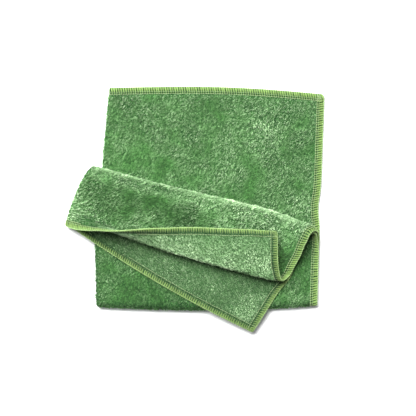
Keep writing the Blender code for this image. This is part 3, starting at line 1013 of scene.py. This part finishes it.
def by_edge(travelled, inward, lift):
    """Points so far round the edge, so far in from the cut and so far off the cloth."""
    station = np.interp(np.mod(travelled, edge_run[-1]), edge_run, np.arange(len(edge_run)))
    before = np.minimum(station.astype(int), len(edge_run) - 2)
    share = (station - before)[:, None, None]
    places = edge_places[before] * (1 - share) + edge_places[before + 1] * share
    normals = edge_normals[before] * (1 - share) + edge_normals[before + 1] * share
    stop = np.clip(inward / inward_stops[1], 0, len(inward_stops) - 1.001)
    low = stop.astype(int)
    here, part = np.arange(len(low)), (stop - low)[:, None]
    place = places[here, low] * (1 - part) + places[here, low + 1] * part
    normal = unit(normals[here, low] * (1 - part) + normals[here, low + 1] * part)
    outwards = unit(places[:, 0] - places[:, 1])
    return place + outwards * np.maximum(-inward, 0)[:, None] + normal * lift[:, None]


def stitched(name, passes, lies_along_edge, unevenness, material):
    """One joined mesh with a length of thread for every stitch, each a flat oval in section."""
    number = np.arange(stitches)
    advance_slip, inward_slip = rng.normal(0, unevenness, (2, stitches))
    paths, sideways = [], []
    for step in passes:
        travelled = (number + step.advance + advance_slip) * stitch_length
        inward = step.inward + SLIP * inward_slip * (step.inward > SLIPS_PAST)
        lift = np.full(stitches, step.lift)
        paths.append(by_edge(travelled, inward, lift))
        if lies_along_edge:
            sideways.append(by_edge(travelled, np.maximum(inward, 0) + SMALL_STEP, lift))
            sideways[-1] -= by_edge(travelled, np.maximum(inward, 0), lift)
        else:
            sideways.append(by_edge(travelled + SMALL_STEP, inward, lift) - paths[-1])
    paths, sideways = np.stack(paths, 1), np.stack(sideways, 1)
    along_thread = unit(np.gradient(paths, axis=1))
    wide = unit(sideways - (sideways * along_thread).sum(-1, keepdims=True) * along_thread)
    high = np.cross(along_thread, wide)
    angles = np.arange(SIDES_OF_THREAD) * 2 * math.pi / SIDES_OF_THREAD
    half_widths = np.array([step.half_width for step in passes])[:, None] * np.cos(angles)
    half_heights = np.array([step.half_height for step in passes])[:, None] * np.sin(angles)
    rings = paths[:, :, None] + half_widths[..., None] * wide[:, :, None]
    rings = rings + half_heights[..., None] * high[:, :, None]
    rings[..., 2] = np.maximum(rings[..., 2], ABOVE_TABLE)
    stops = len(passes)
    index = np.arange(stitches * stops * SIDES_OF_THREAD).reshape(stitches, stops, -1)
    a, b = index[:, :-1], index[:, 1:]
    sides = np.stack((a, np.roll(a, -1, 2), np.roll(b, -1, 2), b), axis=-1).reshape(-1, 4)
    ends = np.concatenate((index[:, 0, ::-1], index[:, -1]))
    caps = np.concatenate((ends[:, :4], ends[:, (0, 3, 4, 5)]))
    piece = joined_mesh(name, rings.reshape(-1, 3), sides, caps)
    painted(piece, "strand", np.repeat(rng.random(stitches), stops * SIDES_OF_THREAD))
    # Painted shade: which passes lie on the back of the edge, whose thread is painted a little
    # darker.
    reverse_shade = np.repeat([step.lift < 0 for step in passes], SIDES_OF_THREAD)
    painted(piece, "reverse_shade", np.tile(reverse_shade, stitches))
    # Painted shade: how far a looper has sunk into the pile, for its colour to be painted darker;
    # half as much on the face.
    sunk_shade = [step.inward / SUNK_PAST * (0.5 if step.lift > 0 else 1.0) for step in passes]
    sunk_shade = np.repeat(sunk_shade, SIDES_OF_THREAD)
    painted(piece, "sunk_shade", np.tile(np.clip(sunk_shade, 0, 1) * (not lies_along_edge), stitches))

    # Each stitch has a square of its own in the map that the finish is kept on, with its
    # sides laid out over most of it and its caps in a strip beside them.
    cells = math.ceil(math.sqrt(stitches))
    corner = np.stack(np.divmod(number, cells), axis=1)
    i, j = np.meshgrid(np.arange(stops - 1), np.arange(SIDES_OF_THREAD), indexing="ij")
    i, j = i / (stops - 1) * 0.9 + 0.02, j / SIDES_OF_THREAD * 0.9 + 0.05
    down, over = 0.9 / (stops - 1), 0.9 / SIDES_OF_THREAD
    side_map = np.stack(((i, j), (i, j + over), (i + down, j + over), (i + down, j)))
    side_map = side_map.transpose(2, 3, 0, 1) + corner[:, None, None, None]
    cap = np.array(((0.94, 0.1), (0.98, 0.1), (0.98, 0.9), (0.94, 0.9)))
    cap_map = np.tile((corner[:, None] + cap).reshape(-1, 2), (4, 1))
    mapped(piece, "OFBake", np.concatenate((side_map.reshape(-1, 2), cap_map)) / cells)
    piece.data.shade_smooth()
    piece.data.materials.append(material)
    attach(piece, "root")
    return piece


def thread(name, colour, shade):
    """Textured polyester sewing thread, whose fluff hides its twist."""
    finish = Finish(name)
    strand, reverse_shade, sunk_shade = (finish.kept(name) for name in ("strand", "reverse_shade", "sunk_shade"))
    fluff = finish.patches(0.0005, detail=3.0, roughness=0.7)
    mixed = finish.blend(fluff.between(0.3, 0.7), shade, colour)
    # Painted shade: the thread is painted darker the further it sinks into the pile, and a little
    # darker on the back of the edge.
    finish.surface(
        Base_Color=finish.tinted(
            mixed, (0.82 + 0.36 * strand) * (1.0 - 0.12 * reverse_shade) * (1.1 - 0.5 * sunk_shade)
        ),
        Roughness=0.7,
        Specular_IOR_Level=0.3,
        Sheen_Weight=0.08,
        Normal=finish.raised(fluff, 0.00025),
    )
    return finish.material


looper_thread = thread("looper_thread", (0.185, 0.300, 0.080, 1), (0.095, 0.18, 0.036, 1))
lock_thread = thread("lock_thread", (0.26, 0.385, 0.150, 1), (0.14, 0.24, 0.068, 1))
needle_thread = thread("needle_thread", (0.27, 0.37, 0.18, 1), (0.15, 0.22, 0.09, 1))
# The needle thread painted darker as shade, for the outer needle's stitches.
shaded_needle_thread = thread("shaded_needle_thread", (0.17, 0.26, 0.11, 1), (0.095, 0.16, 0.060, 1))
stitch_pieces = [
    stitched("overlock_loopers", LOOPER, False, 0.05, looper_thread),
    stitched("overlock_lock", LOCK, True, 0.03, lock_thread),
    stitched("outer_needle_stitches", OUTER_NEEDLE, True, 0.04, shaded_needle_thread),
    stitched("inner_needle_stitches", INNER_NEEDLE, True, 0.04, needle_thread),
    stitched("back_needle_stitches", BACK_NEEDLE, True, 0.04, needle_thread),
]

# ---------------------------------------------------------------------------------------
# The table is a plain white board. A broad soft lamp hangs beyond the top of the cloth and
# a little to the left, and a white room lights the rest.

table_corners = np.array(((-2, -2, 0), (2, -2, 0), (2, 2, 0), (-2, 2, 0)), float)
table = joined_mesh("table", table_corners, np.array([[0, 1, 2, 3]]))
board = Finish("white_board")
grain = board.patches(0.02, detail=4.0)
board.surface(
    Base_Color=board.blend(grain, (0.86, 0.86, 0.87, 1), (0.90, 0.90, 0.90, 1)), Roughness=0.8
)
table.data.materials.append(board.material)
table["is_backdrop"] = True

LAMP_PLACE, LAMP_SIZE, LAMP_WATTS = (-0.48, 0.94, 1.70), (1.35, 1.35), 144
lamp = bpy.data.lights.new("soft_lamp", "AREA")
lamp.shape = "RECTANGLE"
lamp.size, lamp.size_y = LAMP_SIZE
lamp.energy = LAMP_WATTS
lamp_stand = bpy.data.objects.new("soft_lamp", lamp)
lamp_stand.location = LAMP_PLACE
lamp_stand.rotation_euler = (-Vector(LAMP_PLACE)).to_track_quat("-Z", "Y").to_euler()
bpy.context.scene.collection.objects.link(lamp_stand)

white_room = bpy.data.worlds.new("white_room")
white_room.use_nodes = True
room_light = white_room.node_tree.nodes["Background"].inputs
room_light["Color"].default_value = (0.97, 0.98, 1.0, 1)
room_light["Strength"].default_value = 0.34
bpy.context.scene.world = white_room
bpy.context.scene.view_settings.view_transform = "Standard"

VIEW_WIDTH, VIEW_MIDDLE = 0.391, (0.0123, 0.0019)  # of the table, in the picture
CAMERA_HEIGHT, CAMERA_TILT = 1.4, math.radians(2)
camera = bpy.data.cameras.new("camera")
camera.sensor_width = 36
camera.lens = camera.sensor_width * CAMERA_HEIGHT / VIEW_WIDTH
camera_stand = bpy.data.objects.new("camera", camera)
camera_stand.location = (
    VIEW_MIDDLE[0],
    VIEW_MIDDLE[1] - CAMERA_HEIGHT * math.sin(CAMERA_TILT),
    CAMERA_HEIGHT * math.cos(CAMERA_TILT),
)
camera_stand.rotation_euler = (CAMERA_TILT, 0, 0)
bpy.context.scene.collection.objects.link(camera_stand)
bpy.context.scene.camera = camera_stand

boxes = {"packed": packed_box, "shown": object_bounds()}
{name: [list(corner) for corner in box] for name, box in boxes.items()}
